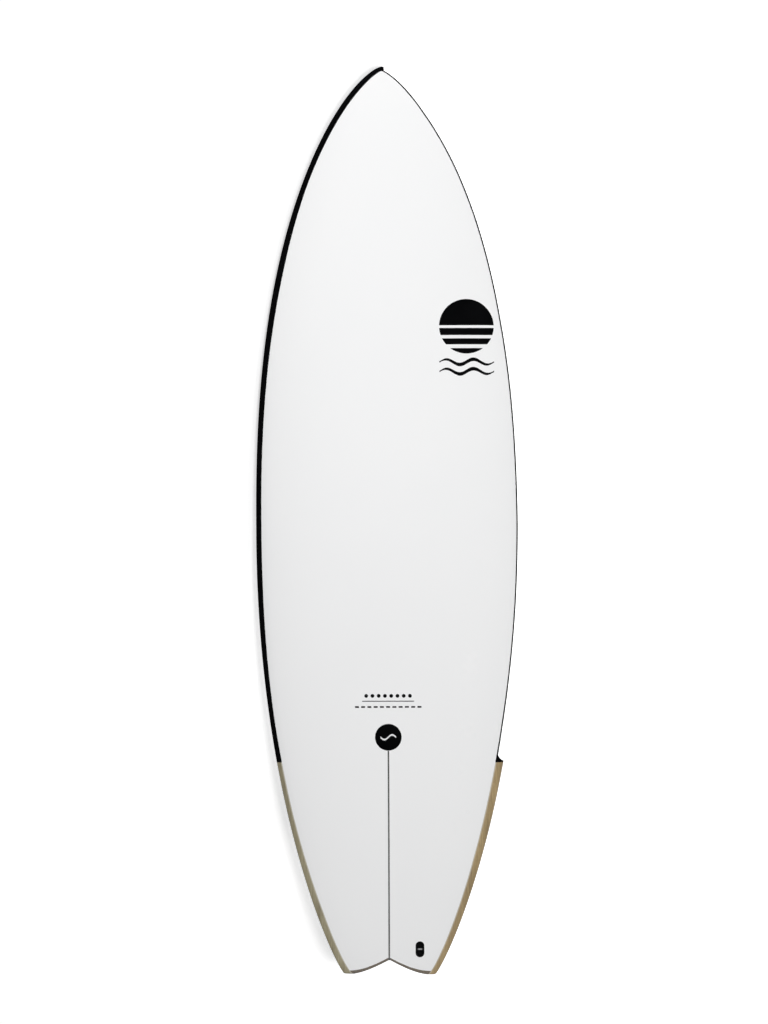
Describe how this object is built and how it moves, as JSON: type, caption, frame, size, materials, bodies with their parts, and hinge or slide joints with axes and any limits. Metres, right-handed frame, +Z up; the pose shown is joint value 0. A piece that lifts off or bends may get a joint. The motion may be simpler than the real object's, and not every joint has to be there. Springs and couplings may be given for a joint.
{
  "type": "surfboard",
  "caption": "Swallow-tail shortboard surfboard with black and wooden rails, a tail stringer, a leash plug, removable fins and empty rear fin boxes.",
  "frame": {"origin": "on the floor under the middle of the board's bounding box, the board standing deck up on its two side fins and its forward belly", "axes": "+Y toward the nose, +X toward the right rail (the leash plug's side), +Z up"},
  "size_m": [0.515, 1.7226, 0.1905],
  "materials": {
    "white_laminate": "gloss",
    "foam": "matte",
    "dense_foam": "matte",
    "stringer": "gloss",
    "black_gloss": "gloss",
    "clear_wood": "clear coated",
    "tail_wood": "clear coated",
    "box_plastic": "satin",
    "screw_steel": "satin",
    "plug_plastic": "satin",
    "bar_steel": "polished",
    "fin_composite": "gloss"
  },
  "bodies": {
    "board": {"deck_skin": "white_laminate", "bottom_skin": "white_laminate", "foam_core": "foam", "tail_stringer": "stringer", "left_rail_front": "black_gloss", "right_rail_front": "black_gloss", "left_rail_tail": "clear_wood", "right_rail_tail": "clear_wood", "left_tail_block": "tail_wood", "right_tail_block": "tail_wood", "left_fin_box": "box_plastic", "right_fin_box": "box_plastic", "centre_fin_box": "box_plastic", "left_rear_box": "box_plastic", "right_rear_box": "box_plastic", "left_box_insert": "dense_foam", "right_box_insert": "dense_foam", "centre_box_insert": "dense_foam", "left_rear_insert": "dense_foam", "right_rear_insert": "dense_foam", "leash_plug_cup": "plug_plastic", "leash_plug_bar": "bar_steel"},
    "left_fin": {"left_fin": "fin_composite"},
    "left_screw": {"left_grub_screw": "screw_steel"},
    "right_fin": {"right_fin": "fin_composite"},
    "right_screw": {"right_grub_screw": "screw_steel"},
    "centre_fin": {"centre_fin": "fin_composite"},
    "centre_screw": {"centre_grub_screw": "screw_steel"}
  },
  "joints": [
    {"name": "left_fin_slide", "type": "slide", "parent": "board", "child": "left_fin", "axis": [0, -0.195, -0.9808], "range_m": [0, 0.03]},
    {"name": "left_screw_slide", "type": "slide", "parent": "board", "child": "left_screw", "axis": [0.037, 0.5547, -0.8312], "range_m": [0, 0.004]},
    {"name": "right_fin_slide", "type": "slide", "parent": "board", "child": "right_fin", "axis": [0, -0.195, -0.9808], "range_m": [0, 0.03]},
    {"name": "right_screw_slide", "type": "slide", "parent": "board", "child": "right_screw", "axis": [-0.037, 0.5547, -0.8312], "range_m": [0, 0.004]},
    {"name": "centre_fin_slide", "type": "slide", "parent": "board", "child": "centre_fin", "axis": [0, -0.2359, -0.9718], "range_m": [0, 0.03]},
    {"name": "centre_screw_slide", "type": "slide", "parent": "board", "child": "centre_screw", "axis": [0, 0.5203, -0.854], "range_m": [0, 0.004]}
  ]
}
